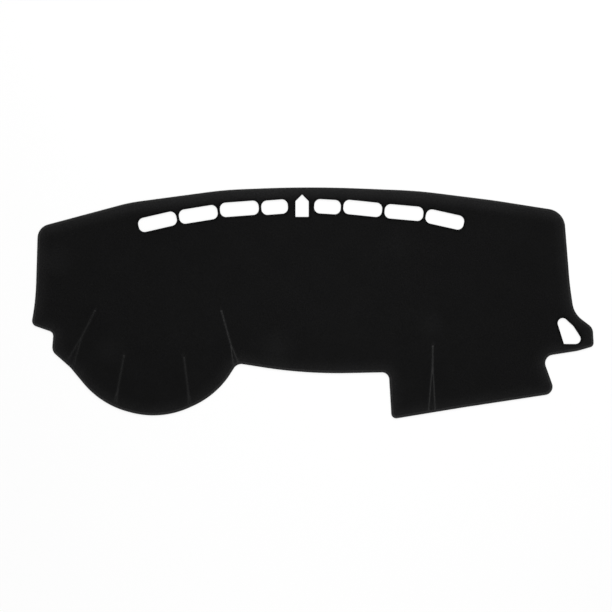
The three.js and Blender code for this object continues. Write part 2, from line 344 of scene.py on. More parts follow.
def corner_arcs(corners):
    """For each corner: where its arc starts, the way it heads, its radius and its turn."""
    points = [Vector(corner[:2]) for corner in corners]
    edges = [points[(i + 1) % len(points)] - point for i, point in enumerate(points)]
    pairs = [(edges[i - 1], edge) for i, edge in enumerate(edges)]
    turns = [math.atan2(before.cross(after), before.dot(after)) for before, after in pairs]
    reach = [corner[2] * math.tan(abs(turn) / 2) for corner, turn in zip(corners, turns)]
    room = [edge.length / (reach[i] + reach[(i + 1) % len(edges)]) for i, edge in enumerate(edges)]
    arcs = []
    for i, point in enumerate(points):
        fit = min(1, room[i], room[i - 1])
        along = edges[i - 1].normalized()
        arcs.append((point - along * reach[i] * fit, along, corners[i][2] * fit, turns[i]))
    return arcs


def edge_stations(corners, felt_side):
    """Points round an outline with the direction into the felt: felt_side is 1 at the left."""
    stations = []
    arcs = corner_arcs(corners)
    for i, (start, along, radius, turn) in enumerate(arcs):
        left = Vector((-along.y, along.x))
        centre = start + left * math.copysign(radius, turn)
        arc_length = radius * abs(turn)
        steps = max(1, math.ceil(arc_length / STATION_GAP), math.ceil(abs(turn) / WIDEST_TURN))
        for k in range(steps + 1):
            spin = Matrix.Rotation(turn * k / steps, 2)
            stations.append((centre + spin @ (start - centre), spin @ left * felt_side))
        end, ahead = stations[-1][0], arcs[(i + 1) % len(arcs)][0]
        straight = max(1, math.ceil((ahead - end).length / STATION_GAP))
        into = stations[-1][1]
        stations += [(end.lerp(ahead, k / straight), into) for k in range(1, straight)]
    gaps = [(s[0] - stations[i - 1][0]).length for i, s in enumerate(stations)]
    return [station for station, gap in zip(stations, gaps) if gap > SAME_STATION]


hem_stations = edge_stations(HEM, felt_side=1)
hole_stations = [edge_stations(corners, felt_side=-1) for corners in HOLES]
hem_length = sum((s[0] - hem_stations[i - 1][0]).length for i, s in enumerate(hem_stations))
print("hem:", round(hem_length, 3), "m long,", len(hem_stations), "stations")

# %% [markdown]
# ## The darts
#
# At a dart the felt is slit, one side is lapped over the other and both are sewn down. From its
# tip one seam runs down the stem. Towards the hem the lap widens, and each of its edges has a seam
# of its own. The lines below are where the needle went.

# %% Dart lines
HOOD_DARTS = [
    {"tip": (-0.144, 0.046), "heading": -117, "stem": 0.076, "legs": (-4.2, 10.2)},
    {"tip": (-0.0715, -0.066), "heading": -101, "stem": 0.084, "legs": (-4, 4)},
    {"tip": (0.0775, -0.071), "heading": -83.5, "stem": 0.084, "legs": (-4, 4)},
    {"tip": (0.17, 0.045), "heading": -74.5, "stem": 0.09, "legs": (-7.9, 7.2)},
]
GLOVEBOX_TIP = Vector((PASSENGERS_SIDE - 0.4015, -0.106))
GLOVEBOX_DART = {"tip": GLOVEBOX_TIP, "heading": -90.5, "stem": 0.05, "legs": (-4.2, 3.8)}
NEEDLE_LINE = 0.0064  # of the overlock, from the mat's edge
SEAM_RUNS_UNDER = 0.001  # a dart's seam ends this far past that line, under the overlock
WELL_PAST_HEM = 1.0


def headed(start, degrees, distance):
    angle = math.radians(degrees)
    return start + Vector((math.cos(angle), math.sin(angle))) * distance


def until_overlock(start, degrees):
    """The point where a seam that heads this way runs under the overlock."""
    far = headed(start, degrees, WELL_PAST_HEM)
    line = [point + into * (NEEDLE_LINE - SEAM_RUNS_UNDER) for point, into in hem_stations]
    hits = [intersect_line_line_2d(start, far, a, line[i - 1]) for i, a in enumerate(line)]
    return min((hit for hit in hits if hit), key=lambda hit: (hit - start).length)


def dart_lines(dart, origin):
    tip = origin + Vector(dart["tip"])
    fork = headed(tip, dart["heading"], dart["stem"])
    ends = [until_overlock(fork, dart["heading"] + leg) for leg in dart["legs"]]
    return {"tip": tip, "fork": fork, "ends": ends}


DARTS = {f"hood_dart_seam_{i + 1}": dart_lines(d, HOOD_CENTRE) for i, d in enumerate(HOOD_DARTS)}
DARTS["glovebox_dart_seam"] = dart_lines(GLOVEBOX_DART, Vector((0, 0)))
SEAM_LINES = [(dart["tip"], dart["fork"]) for dart in DARTS.values()]
SEAM_LINES += [(dart["fork"], end) for dart in DARTS.values() for end in dart["ends"]]
print("sewn length of the darts:", round(sum((b - a).length for a, b in SEAM_LINES), 3), "m")

# %% [markdown]
# ## How the felt lies
#
# One function gives the lift of the sheet at any point of the plan. It swells where the darts draw
# the hem together, lies flat along the hem, and has slow, shallow waves, as felt has after it was
# folded in a box.

# %% Heights
FELT_THICK = 0.003
GRIP_THICK = 0.0005  # of the dots under the felt, on which it lies
SQUEEZED_LOW, SQUEEZED_TOP = 0.00065, 0.00255  # of the hem, under the thread
FELT_EDGE = 0.0002  # the felt ends this far inside the thread that wraps it
CUT_ROUNDING = 0.0009
HOOD_RISE, FLAP_RISE, FLAP_RADIUS = 0.014, 0.006, 0.115
WAVE_RISE, WAVE_LENGTH, WAVE_SLICE = 0.0014, 0.21, 0.3
SWELLS_GROW, WAVES_GROW = (0.030, 0.090), (0.008, 0.090)  # between these distances from the hem


def edge_finder(groups):
    """A finder for the nearest of many plan points."""
    points = [station[0] for group in groups for station in group]
    finder = KDTree(len(points))
    for i, point in enumerate(points):
        finder.insert((point.x, point.y, 0), i)
    finder.balance()
    return lambda place: finder.find((place.x, place.y, 0))[2]


from_hem = edge_finder([hem_stations])
from_hole = edge_finder(hole_stations)
# At the windscreen edge the way into the felt leads straight forwards, and the rear line is near
FORWARDS, REAR_BAND = -0.9, 0.11
rear_stations = [s for s in hem_stations if s[1].y < FORWARDS and s[0].y > REAR_LINE - REAR_BAND]
from_windscreen = edge_finder([rear_stations])


def ramp(value, low, high):
    """0 below low, 1 above high, and a smooth step between."""
    share = min(max((value - low) / (high - low), 0), 1)
    return share * share * (3 - 2 * share)


def swell(place, centre, radius, rise):
    share = (place - centre).length / radius
    return rise * (1 - share**2) ** 2 if share < 1 else 0


def laid(place):
    """How far the felt is lifted off the table."""
    inside = from_hem(place)
    bulge = swell(place, HOOD_CENTRE, HOOD_RADIUS, HOOD_RISE)
    bulge += swell(place, GLOVEBOX_TIP, FLAP_RADIUS, FLAP_RISE)
    wave = 0.5 + 0.5 * noise.noise(Vector((place.x, place.y, WAVE_SLICE)) / WAVE_LENGTH)
    return bulge * ramp(inside, *SWELLS_GROW) + WAVE_RISE * wave * ramp(inside, *WAVES_GROW)


print("lift at the hood:", round(laid(HOOD_CENTRE) * 1000, 1), "mm")

# %% [markdown]
# Near the darts the surface has its own relief: the lap is a second layer and stands up, the seams
# draw the felt down, and it puckers between the stitches.

# %% Relief at the darts
LAP_RISE, SEAM_SINK, SEAM_HALF = 0.0012, 0.0006, 0.0028
LAP_SLOPE = (0.0006, 0.002)  # how far inside its seams a lap rises
LAP_STARTS = (0.0072, 0.0120)  # from the hem, so that it stays clear of the overlock
PUCKER_RISE, PUCKER_LENGTH, PUCKER_REACH = 0.00035, 0.009, 0.011
PUCKER_STARTS = (0.001, 0.004)  # from the seam


def seam_near(place):
    """The nearest seam line: how far off it is, and how far along it the nearest point lies."""
    best = (1.0, 0.0)
    for start, end in SEAM_LINES:
        along = (end - start).normalized()
        run = min(max((place - start).dot(along), 0), (end - start).length)
        off = (place - start - along * run).length
        if off < best[0]:
            best = (off, run)
    return best


def in_lap(place):
    """How far inside the lap of a dart a place is, from 0 at its seams."""
    deepest = 0.0
    for dart in DARTS.values():
        fork, (first, second) = dart["fork"], dart["ends"]
        left = (first - fork).normalized().cross(place - fork)
        right = (place - fork).cross((second - fork).normalized())
        deepest = max(deepest, min(left, right))
    return deepest


def felt_surface(place):
    """How far the pile stands above its plain height: up in a lap, down at a seam."""
    off, run = seam_near(place)
    lap = LAP_RISE * ramp(in_lap(place), *LAP_SLOPE) * ramp(from_hem(place), *LAP_STARTS)
    if off > PUCKER_REACH:
        return lap
    near = 1 - ramp(off, 0, PUCKER_REACH)
    pucker = PUCKER_RISE * math.sin(2 * math.pi * run / PUCKER_LENGTH) * near
    sink = SEAM_SINK * (1 - min(off / SEAM_HALF, 1) ** 2) ** 2
    return lap + pucker * ramp(off, *PUCKER_STARTS) - sink


print("relief at a tip:", round(felt_surface(GLOVEBOX_TIP) * 1000, 2), "mm")

# %% [markdown]
# ## The felt sheet
#
# No single Blender shape is an evenly meshed plate with ten holes. The plan is therefore filled by
# Blender's constrained triangulation: it takes the edge lines, the lines beside them and a loose
# lattice of points, and joins them all without crossing an edge. Extruding that plan gives the
# thickness, and the points are then set to their heights, close together where the cut is rounded.

# %% Plan of the sheet
LATTICE = 0.008
HEM_LINES = (0, 0.0002, 0.0005, 0.0009, 0.0020, 0.0036, 0.0052, 0.0070)
HOLE_LINES = (0, 0.0002, 0.0005, 0.0009, 0.0022)
SEAM_OFFSETS = (0, 0.0008, 0.0016, 0.0026, 0.0042, 0.0064, 0.0092)
SEAM_STEP = 0.003
SEAM_CLEAR = 0.0015  # between the lines along the hem and those along a seam

plan_points, plan_edges, rim_points = [], [], set()


def add_loop(points):
    """Add a closed line of plan points and give back their numbers."""
    first = len(plan_points)
    plan_points.extend(points)
    count = len(points)
    plan_edges.extend((first + i, first + (i + 1) % count) for i in range(count))
    return range(first, first + count)


edges_to_follow = [(hem_stations, FELT_EDGE, HEM_LINES)]
edges_to_follow += [(stations, 0, HOLE_LINES) for stations in hole_stations]
for stations, base, distances in edges_to_follow:
    for distance in distances:
        loop = add_loop([point + into * (base + distance) for point, into in stations])
        if distance == 0:
            rim_points.update(loop)

felt_hem = [plan_points[i] for i in range(len(hem_stations))]
seams_from = FELT_EDGE + HEM_LINES[-1] + SEAM_CLEAR
for start, end in SEAM_LINES:
    along = (end - start).normalized()
    across = Vector((-along.y, along.x))
    steps = math.ceil((end - start).length / SEAM_STEP)
    for offset in sorted({side * o for o in SEAM_OFFSETS for side in (-1, 1)}):
        line = [start.lerp(end, k / steps) + across * offset for k in range(steps + 1)]
        plan_points += [p for p in line if from_hem(p) > seams_from]
print("points on edges and seams:", len(plan_points))

# %% [markdown]
# The rest of the sheet gets a staggered lattice: each of its points has six neighbours at the same
# distance, so the triangles come out even. It keeps clear of the lines along edges and seams,
# because points close together would make slivers.


# %% Lattice inside the edges
def felt_spans(y, outlines, keep):
    """The stretches of felt along one line of the lattice, each cut short at both ends."""
    hits = []
    for outline in outlines:
        for i, b in enumerate(outline):
            a = outline[i - 1]
            if (a.y > y) != (b.y > y):
                hits.append(a.x + (y - a.y) * (b.x - a.x) / (b.y - a.y))
    hits.sort()
    return [(low + keep, high - keep) for low, high in zip(hits[::2], hits[1::2])]


def lattice(pitch, from_edge, from_seam):
    """A staggered lattice of plan points inside the felt, clear of its edges and seams."""
    outlines = [felt_hem] + [[s[0] for s in stations] for stations in hole_stations]
    points = []
    row_height = pitch * math.sqrt(3) / 2
    for row in range(int((REAR_LINE - FRONT_LINE) / row_height)):
        y = FRONT_LINE + (row + 0.5) * row_height
        shift = pitch / 2 * (row % 2)
        for low, high in felt_spans(y, outlines, from_edge):
            first = math.ceil((low - shift) / pitch)
            last = math.floor((high - shift) / pitch)
            points += [Vector((i * pitch + shift, y)) for i in range(first, last + 1)]
    clear = [p for p in points if min(from_hem(p), from_hole(p)) > from_edge]
    return [p for p in clear if seam_near(p)[0] > from_seam]


hem_clear = FELT_EDGE + HEM_LINES[-1] + LATTICE / 2
inner = lattice(LATTICE, LATTICE / 2, SEAM_OFFSETS[-1] + LATTICE / 3)
inner = [place for place in inner if from_hem(place) > hem_clear]
plan_points += inner
print("lattice points:", len(inner))

# %% [markdown]
# The triangulation covers the convex outline of all points. What lies outside the felt touches
# nothing but rim points, because a loop of points runs just inside every rim. Those triangles go.

# %% Fill the plan and give it its thickness
ALL_TRIANGLES = 0  # the kind of answer that is wanted, the convex outline included
SAME_POINT = 1e-7

filled = delaunay_2d_cdt(plan_points, plan_edges, [], ALL_TRIANGLES, SAME_POINT)
made_points, _, made_faces, came_from, _, _ = filled
on_rim = [any(i in rim_points for i in sources) for sources in came_from]

bm = bmesh.new()
# The layer, which holds the painted sheen of the pile, is made before any point, because a new
# layer moves the points in memory
painted_sheen_layer = bm.verts.layers.float.new("painted_sheen")
plan_verts = [bm.verts.new((point.x, point.y, 0)) for point in made_points]
for corners in made_faces:
    if not all(on_rim[i] for i in corners):
        bm.faces.new([plan_verts[i] for i in corners])
bmesh.ops.delete(bm, geom=[v for v in bm.verts if not v.link_faces], context="VERTS")
grown = bmesh.ops.extrude_face_region(bm, geom=bm.faces[:], use_keep_orig=True)
top_verts = {v for v in grown["geom"] if isinstance(v, bmesh.types.BMVert)}
bmesh.ops.translate(bm, verts=list(top_verts), vec=(0, 0, FELT_THICK))
bmesh.ops.recalc_face_normals(bm, faces=bm.faces[:])
print("felt sheet:", len(bm.verts), "points,", len(bm.faces), "faces")


# %% [markdown]
# Now every point gets its height: squeezed at the hem, rounded at the cut, full inside. The pile
# itself is too fine to model, and so is the way it catches the light. That is painted into its
# colour
# as painted sheen: lighter along the windscreen edge, the hem and the seams and in a few spots, and
# darker beside the holes. How much is stored at each point, in a layer that the material reads.

# %% Lay the felt and lean its pile
def rounding(distance, radius):
    """How far a rounded edge has dropped, this far inside the cut."""
    return radius - math.sqrt(max(radius**2 - max(radius - distance, 0) ** 2, 0))


SQUEEZE_FADES = (0.0030, 0.0070)  # between these distances from the hem
# How much lighter the pile's colour is painted near an edge or seam, as painted sheen, and how far
# from there that fades. Beside the holes the value is negative and paints the colour darker.
PAINTED_SHEEN_AT_WINDSCREEN, WINDSCREEN_FADES = 0.95, (0.010, 0.036)
PAINTED_SHEEN_AT_HEM, HEM_REACH = 1.80, 0.040
PAINTED_SHEEN_AT_SEAM, SEAM_FADES = 1.0, (0, 0.006)
PAINTED_SHEEN_AT_HOLE, HOLE_FADES = -0.75, (0.0015, 0.005)
# The painted sheen along the windscreen edge is strongest in its middle: what is left at each end,
# and where it changes
DRIVERS_SHARE, DRIVERS_GROWS = 0.35, (-0.58, -0.43)
PASSENGERS_SHARE, PASSENGERS_SINKS = 0.4, (0.44, 0.56)
PAINTED_SHEEN_SPOTS = [  # spots of painted sheen: middle and radius, and how much lighter
    (0.02, 0.02, 0.520, 0.14),
    (-0.643, 0.107, 0.055, 0.60),
    (-0.506, -0.117, 0.050, 0.38),
    (-0.092, -0.110, 0.060, 0.50),
    (0.205, 0.144, 0.055, 0.30),
    (0.292, -0.055, 0.050, 0.30),
]


def painted_sheen(place):
    """How much lighter the pile's colour is painted than in the middle of the sheet, as painted
    sheen; beside the holes, darker.
    """
    middle = DRIVERS_SHARE + (1 - DRIVERS_SHARE) * ramp(place.x, *DRIVERS_GROWS)
    middle -= (1 - PASSENGERS_SHARE) * ramp(place.x, *PASSENGERS_SINKS)
    sheen_gain = PAINTED_SHEEN_AT_WINDSCREEN * middle * (1 - ramp(from_windscreen(place), *WINDSCREEN_FADES))
    sheen_gain += PAINTED_SHEEN_AT_HEM * (1 - min(from_hem(place) / HEM_REACH, 1)) ** 2
    sheen_gain += PAINTED_SHEEN_AT_SEAM * (1 - ramp(seam_near(place)[0], *SEAM_FADES))
    sheen_gain += PAINTED_SHEEN_AT_HOLE * (1 - ramp(from_hole(place), *HOLE_FADES))
    for x, y, radius, gain in PAINTED_SHEEN_SPOTS:
        sheen_gain += swell(place, Vector((x, y)), radius, gain)
    return sheen_gain


def smooth_mesh(name, bm):
    for face in bm.faces:
        face.smooth = True
    return finish_mesh(name, bm)


for vert in bm.verts:
    place = vert.co.to_2d()
    hem_gap, hole_gap = from_hem(place) - FELT_EDGE, from_hole(place)
    lift = laid(place)
    squeeze = ramp(hem_gap, *SQUEEZE_FADES)
    drop = rounding(min(hem_gap, hole_gap), CUT_ROUNDING)
    if vert in top_verts:
        top = SQUEEZED_TOP + (FELT_THICK - SQUEEZED_TOP) * squeeze
        vert.co.z = lift + top - drop + felt_surface(place)
    else:
        low = SQUEEZED_LOW + (GRIP_THICK - SQUEEZED_LOW) * squeeze
        vert.co.z = lift + low + drop
    # The painted sheen: how much lighter the pile's colour is made at this point
    vert[painted_sheen_layer] = painted_sheen(place)

felt = add_object("felt_sheet", smooth_mesh("felt_sheet", bm))
print("felt stands", round(max(v.co.z for v in felt.data.vertices) * 1000, 1), "mm high")

# %% [markdown]
# ## The overlock
#
# An overlock machine lays thread over the edge in slanting turns and locks each turn with a needle
# thread that runs along the hem. One turn is modelled once: a ring of a few points is drawn out
# along the top, spun half round the edge and drawn back underneath. Copies of it then march round
# the hem. Each has only a few dozen faces, because there are well over a thousand.

# %% Helpers for thread
THREAD_SIDES = 5
TWIST_RUN = 1.6  # the half widths along a thread in which its strands turn once


def draw_out(bm, ring, vec):
    """Extrude a ring of edges by vec and give back the new ring."""
    grown = bmesh.ops.extrude_edge_only(bm, edges=ring)["geom"]
    bmesh.ops.translate(bm, verts=[g for g in grown if isinstance(g, bmesh.types.BMVert)], vec=vec)
    return [g for g in grown if isinstance(g, bmesh.types.BMEdge) and len(g.link_faces) == 1]


def close_ends(bm):
    open_edges = [edge for edge in bm.edges if len(edge.link_faces) == 1]
    bmesh.ops.holes_fill(bm, edges=open_edges, sides=0)
    bmesh.ops.recalc_face_normals(bm, faces=bm.faces[:])


def mark_twist(bm, half_wide, run_and_side):
    """Store at every point how many turns the thread's strands have made there."""
    layer = bm.verts.layers.float.new("twist")
    for vert in bm.verts:
        run, side = run_and_side(vert.co)
        vert[layer] = run / (TWIST_RUN * half_wide) + side / (2 * half_wide)


# %% [markdown]
# One turn climbs out of the felt at the needle line, crosses to the edge, goes round it and comes
# back underneath.

# %% One turn of the overlock
TURN_PITCH, TURN_SLANT = 0.0024, 0.0017
THREAD_HALF_WIDE, THREAD_HALF_THICK = 0.00088, 0.00036
WRAP_MIDDLE, WRAP_HEIGHT, WRAP_RADIUS, WRAP_STEPS = 0.0014, 0.00168, 0.00128, 4
DIVE, DIVE_RUN = 0.0009, 0.0005  # how deep its ends go into the felt, and over what length


def along_turn(point):
    """How far along a turn of thread a point lies, and how far from the thread's middle line."""
    leg = NEEDLE_LINE - WRAP_MIDDLE
    up = point.z - WRAP_HEIGHT
    if point.y <= WRAP_MIDDLE:
        run = leg + WRAP_RADIUS * math.atan2(WRAP_MIDDLE - point.y, up)
    elif up > 0:
        run = NEEDLE_LINE - point.y
    else:
        run = leg + math.pi * WRAP_RADIUS + point.y - WRAP_MIDDLE
    return run, point.x


def overlock_turn():
    """In its own frame: X along the hem, Y into the felt from the edge, Z up."""
    bm = bmesh.new()
    made = bmesh.ops.create_circle(bm, cap_ends=False, segments=THREAD_SIDES, radius=1)
    shape = Matrix.Diagonal((THREAD_HALF_WIDE, THREAD_HALF_THICK, 1, 1))
    upright = Matrix.Rotation(math.radians(90), 4, "X")
    top = WRAP_HEIGHT + WRAP_RADIUS
    start = Matrix.Translation((0, NEEDLE_LINE, top - DIVE))
    bmesh.ops.transform(bm, matrix=start @ upright @ shape, verts=made["verts"])
    ring = draw_out(bm, bm.edges[:], (0, -DIVE_RUN, DIVE))
    ring = draw_out(bm, ring, (0, (WRAP_MIDDLE - NEEDLE_LINE) / 2, 0))
    ring = draw_out(bm, ring, (0, (WRAP_MIDDLE - NEEDLE_LINE) / 2 + DIVE_RUN, 0))
    spun = bmesh.ops.spin(
        bm,
        geom=ring + list({v for edge in ring for v in edge.verts}),
        cent=(0, WRAP_MIDDLE, WRAP_HEIGHT),
        axis=(1, 0, 0),
        dvec=(0, 0, 0),
        angle=math.pi,
        steps=WRAP_STEPS,
        use_merge=False,
    )
    ring = [g for g in spun["geom_last"] if isinstance(g, bmesh.types.BMEdge)]
    ring = draw_out(bm, ring, (0, NEEDLE_LINE - WRAP_MIDDLE - DIVE_RUN, 0))
    draw_out(bm, ring, (0, DIVE_RUN, DIVE))
    close_ends(bm)
    mark_twist(bm, THREAD_HALF_WIDE, along_turn)
    for vert in bm.verts:
        reach = max(vert.co.y - WRAP_MIDDLE, 0) / (NEEDLE_LINE - WRAP_MIDDLE)
        vert.co.x += math.copysign(TURN_SLANT / 2, vert.co.z - WRAP_HEIGHT) * reach
    return smooth_mesh("overlock_turn", bm)


turn_mesh = overlock_turn()
print("one turn:", len(turn_mesh.polygons), "faces")

# %% [markdown]
# All other stitches are a bar that rises out of the felt at one end and dives back at the other.

# %% A plain stitch
BAR_STEPS = ((0.2, 0.8), (0.3, 0.2), (0.3, -0.2), (0.2, -0.8))  # shares of its length and arch


def stitch_bar(name, length, half_wide, half_thick, arch):
    """A short stitch along X that dives into the felt at both ends."""
    bm = bmesh.new()
    made = bmesh.ops.create_circle(bm, cap_ends=False, segments=THREAD_SIDES, radius=1)
    shape = Matrix.Diagonal((half_wide, half_thick, 1, 1))
    facing = Matrix.Rotation(math.radians(90), 4, "Z") @ Matrix.Rotation(math.radians(90), 4, "X")
    start = Matrix.Translation((-length / 2, 0, -arch))
    bmesh.ops.transform(bm, matrix=start @ facing @ shape, verts=made["verts"])
    ring = bm.edges[:]
    for run, rise in BAR_STEPS:
        ring = draw_out(bm, ring, (run * length, 0, rise * arch))
    close_ends(bm)
    mark_twist(bm, half_wide, lambda point: (point.x, point.y))
    return smooth_mesh(name, bm)


needle_size = {"half_wide": 0.00036, "half_thick": 0.0003, "arch": 0.0007}
needle_mesh = stitch_bar("needle_stitch", TURN_PITCH * 0.96, **needle_size)
print("one needle stitch:", len(needle_mesh.polygons), "faces")

# %% [markdown]
# Each copy is set down by a matrix of its own: one axis along the hem, one into the felt, one up.
# No two turns of a real seam are quite the same, so every turn is twisted by up to four degrees
# and is up to 6% flatter. The random numbers have a fixed seed, and each run gives the same hem.


# %% March the turns round the hem
def even_stations(stations, pitch):
    """Stations at an even pitch round a closed line."""
    points = [s[0] for s in stations] + [stations[0][0]]
    intos = [s[1] for s in stations] + [stations[0][1]]
    lengths = [(b - a).length for a, b in zip(points, points[1:])]
    count = round(sum(lengths) / pitch)
    even, i, gone = [], 0, 0.0
    for k in range(count):
        target = k * sum(lengths) / count
        while gone + lengths[i] < target:
            gone += lengths[i]
            i += 1
        share = (target - gone) / lengths[i]
        into = intos[i].lerp(intos[i + 1], share).normalized()
        even.append((points[i].lerp(points[i + 1], share), into))
    return even


def placing(point, into):
    """The matrix that sets a stitch's own frame down on the hem."""
    along = Vector((into.y, -into.x))
    columns = (*along, 0, 0), (*into, 0, 0), (0, 0, 1, 0), (point.x, point.y, 0, 1)
    return Matrix(columns).transposed()


def add_copy(bm, mesh, matrix):
    copy = mesh.copy()
    copy.transform(matrix)
    bm.from_mesh(copy)
    bpy.data.meshes.remove(copy)


def finish_piece(name, bm):
    piece = add_object(name, finish_mesh(name, bm))
    triangles = sum(len(face.vertices) - 2 for face in piece.data.polygons)
    print(name, "has", triangles, "triangles")
    return piece


WANDER, FLATTEST = 0.07, 0.94
NEEDLE_BACK, NEEDLE_UP = 0.0002, 0.0003  # from the needle line towards the edge, and off the felt

random.seed(7)
bm = bmesh.new()
stitches = even_stations(hem_stations, TURN_PITCH)
for point, into in stitches:
    wander = Matrix.Rotation(random.uniform(-WANDER, WANDER), 4, "Z")
    flatter = Matrix.Scale(random.uniform(FLATTEST, 1.0), 4, (0, 0, 1))
    add_copy(bm, turn_mesh, placing(point, into) @ wander @ flatter)
overlock = finish_piece("edge_overlock_thread", bm)

bm = bmesh.new()
on_line = Matrix.Translation((0, NEEDLE_LINE - NEEDLE_BACK, FELT_THICK + NEEDLE_UP))
for point, into in stitches:
    add_copy(bm, needle_mesh, placing(point, into) @ on_line)
needle_line = finish_piece("edge_needle_line", bm)
print(len(stitches), "turns round the hem")

# %% [markdown]
# ## The dart seams
#
# Darts are closed with a zigzag, which lets the felt give. Its stitches are the same bars, set
# slanting across each seam line in turn, and they follow the felt up over the bulge of the hood.
# At its tip each seam starts with a tack: a few wider stitches close together, so it can't open.
# The needle goes right through, so every stitch shows above and, turned over, below the felt.

# %% Zigzag down the darts
ZIGZAG_HALF, ZIGZAG_STEP, OVERLAP = 0.0028, 0.0015, 1.06
TACK_LENGTH, TACK_STEP, TACK_WIDER = 0.0030, 0.0006, 1.25

slant = math.hypot(2 * ZIGZAG_HALF, ZIGZAG_STEP) * OVERLAP
zigzag_mesh = stitch_bar("zigzag_stitch", slant, half_wide=0.00042, half_thick=0.00032, arch=0.0008)


def sew(bm, start, end, step, wider=1.0):
    """Slanting stitches along a line, each longer than the plain one by the factor wider."""
    along = (end - start).normalized()
    across = Vector((-along.y, along.x))
    count = round((end - start).length / step)
    longer = Matrix.Scale(wider, 4, (1, 0, 0))
    turned_over = Matrix.Rotation(math.pi, 4, "X")
    for k in range(count):
        side = 1 if k % 2 else -1
        middle = start.lerp(end, (k + 0.5) / count)
        heading = along * step + across * 2 * side * ZIGZAG_HALF
        turn = Matrix.Rotation(math.atan2(heading.y, heading.x), 4, "Z")
        above = Matrix.Translation((*middle, FELT_THICK))
        below = Matrix.Translation((*middle, GRIP_THICK))
        add_copy(bm, zigzag_mesh, above @ turn @ longer)
        add_copy(bm, zigzag_mesh, below @ turn @ turned_over @ longer)


def zigzag(name, lines):
    bm = bmesh.new()
    for start, end in lines:
        sew(bm, start, end, ZIGZAG_STEP)
    tip, fork = lines[0]
    sew(bm, tip, tip + (fork - tip).normalized() * TACK_LENGTH, TACK_STEP, TACK_WIDER)
    for vert in bm.verts:
        vert.co.z += laid(vert.co.to_2d())
    return finish_piece(name, bm)


seams = {}
for name, dart in DARTS.items():
    lines = [(dart["tip"], dart["fork"])] + [(dart["fork"], end) for end in dart["ends"]]
    seams[name] = zigzag(name + "_thread", lines)

# %% [markdown]
# ## The grip under the mat
#
# The back of such a mat is printed with small silicone dots that keep it from sliding. They are
# what it stands on. Each is a small disc whose middle is inset and drawn down. The rim of a lone
# disc is a boundary, which an inset leaves out, so it is told to use the boundary too.

# %% Grip dots
DOT_PITCH, DOT_RADIUS = 0.012, 0.0012
DOT_INSET, DOT_DEPTH = 0.45 * DOT_RADIUS, 0.96 * GRIP_THICK
DOTS_FROM_EDGE, DOTS_FROM_SEAM = 0.010, 0.004


def grip_dot():
    bm = bmesh.new()
    bmesh.ops.create_circle(bm, cap_ends=True, segments=8, radius=DOT_RADIUS)
    bmesh.ops.reverse_faces(bm, faces=bm.faces[:])
    cap = bm.faces[:]
    inset = {"thickness": DOT_INSET, "use_boundary": True, "use_even_offset": True}
    bmesh.ops.inset_region(bm, faces=cap, **inset)
    bmesh.ops.translate(bm, verts=list(cap[0].verts), vec=(0, 0, -DOT_DEPTH))
    close_ends(bm)
    return smooth_mesh("grip_dot", bm)


dot_mesh = grip_dot()
bm = bmesh.new()
for place in lattice(DOT_PITCH, DOTS_FROM_EDGE, DOTS_FROM_SEAM):
    add_copy(bm, dot_mesh, Matrix.Translation((place.x, place.y, laid(place) + GRIP_THICK)))
dots = finish_piece("grip_dots", bm)

# %% [markdown]
# ## Velour
#
# Velour is a felt whose fibres were pulled up into a short pile. From a step away it is one deep,
# dull black. Closer, the pile is mottled, and a sheen that is painted into its colour makes it
# lighter in places. The effect is a node group, so that its parts have names: it mixes three sizes
# of noise into the colour and gives the height of the fibres for a bump. A second group does the
# same for all the threads.


# %% Helpers for node groups
def new_group(name, inputs, outputs):
    group = bpy.data.node_groups.new(name, "ShaderNodeTree")
    for socket, kind, value in inputs:
        made = group.interface.new_socket(socket, in_out="INPUT", socket_type=kind)
        made.default_value = value
    for socket, kind in outputs:
        group.interface.new_socket(socket, in_out="OUTPUT", socket_type=kind)
    return group, group.nodes.new("NodeGroupInput"), group.nodes.new("NodeGroupOutput")


def object_noise(tree, scale, detail, roughness=0.5, stretch=1.0):
    """Noise in Object coordinates, so it stays put on the piece, drawn out along Y by stretch.

    Scale is per metre."""
    place = add_node(tree, "ShaderNodeTexCoord")
    drawn = add_node(tree, "ShaderNodeVectorMath", {1: (1, 1 / stretch, 1)}, operation="MULTIPLY")
    values = {"Scale": scale, "Detail": detail, "Roughness": roughness}
    made = add_node(tree, "ShaderNodeTexNoise", values)
    tree.links.new(place.outputs["Object"], drawn.inputs[0])
    tree.links.new(drawn.outputs[0], made.inputs["Vector"])
    return made.outputs["Fac"]


def mottled(tree, value, amount):
    """A factor round 1 from a noise value round a half."""
    centred = linked_math(tree, "SUBTRACT", value, 0.5)
    return linked_math(tree, "ADD", linked_math(tree, "MULTIPLY", centred, amount), 1.0)


def shaded(tree, color, factor):
    """A colour made lighter or darker by a factor."""
    node = add_node(tree, "ShaderNodeVectorMath", operation="SCALE")
    tree.links.new(color, node.inputs[0])
    tree.links.new(factor, node.inputs["Scale"])
    return node.outputs[0]


# %% [markdown]
# The pile's colour is one plain colour times three noises: fibres under a millimetre wide, tufts of
# a few millimetres, and strokes as wide as a hand. The painted sheen then makes it lighter.

# %% Velour pile
FLOAT, COLOR = "NodeSocketFloat", "NodeSocketColor"
pile, enter, leave = new_group(
    "velour_pile",
    [("Color", COLOR, (0.008, 0.008, 0.008, 1)), ("Painted Sheen", FLOAT, 0.0)],
    [("Color", COLOR), ("Roughness", FLOAT), ("Height", FLOAT)],
)
fibres = object_noise(pile, scale=1400, detail=3, roughness=0.75, stretch=2.5)
tufts = object_noise(pile, scale=300, detail=3, roughness=0.6, stretch=1.4)
strokes = object_noise(pile, scale=14, detail=4, roughness=0.55)
shade = linked_math(pile, "MULTIPLY", mottled(pile, fibres, 3.2), mottled(pile, tufts, 1.3))
shade = linked_math(pile, "MULTIPLY", shade, mottled(pile, strokes, 0.45))
